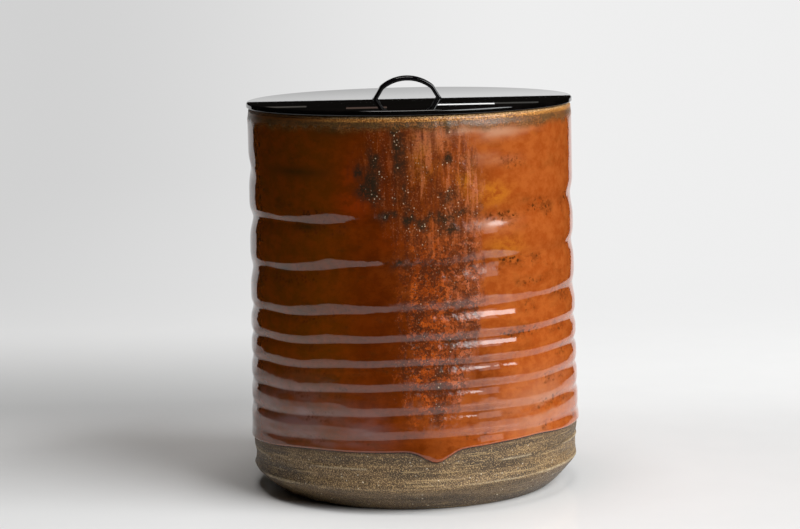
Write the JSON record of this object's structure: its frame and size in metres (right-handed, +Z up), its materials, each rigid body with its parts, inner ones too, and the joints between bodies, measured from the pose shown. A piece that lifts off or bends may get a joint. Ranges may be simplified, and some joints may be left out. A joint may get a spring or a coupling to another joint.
{
  "type": "mizusashi water jar",
  "caption": "Cylindrical thrown stoneware water jar with ringed, glazed walls and a bare foot, under a flat lacquered lid with a bow handle; holds fresh water for making tea.",
  "frame": {"origin": "on the jar's axis, at the level of the table it stands on", "axes": "+Z up the jar's axis, -Y towards the side with the run of glaze, +X to the right seen from there"},
  "size_m": [0.1676, 0.1678, 0.207],
  "materials": {
    "stoneware": "rough unglazed grey-brown stoneware with pale grit",
    "iron_glaze": "glossy orange-brown iron glaze with dark ash runs",
    "lining_glaze": "glossy brown glaze",
    "black_lacquer": "polished black lacquer over wood",
    "handle_lacquer": "polished black lacquer over a bent strip"
  },
  "bodies": {
    "jar": {"jar_body": "stoneware", "outer_glaze": "iron_glaze", "inner_glaze": "lining_glaze"},
    "lid": {"lid_board": "black_lacquer", "lid_hoop": "black_lacquer", "lid_handle": "handle_lacquer"}
  },
  "joints": [
    {"name": "lid_lift", "type": "slide", "parent": "jar", "child": "lid", "axis": [0, 0, 1], "range_m": [0, 0.15]}
  ]
}
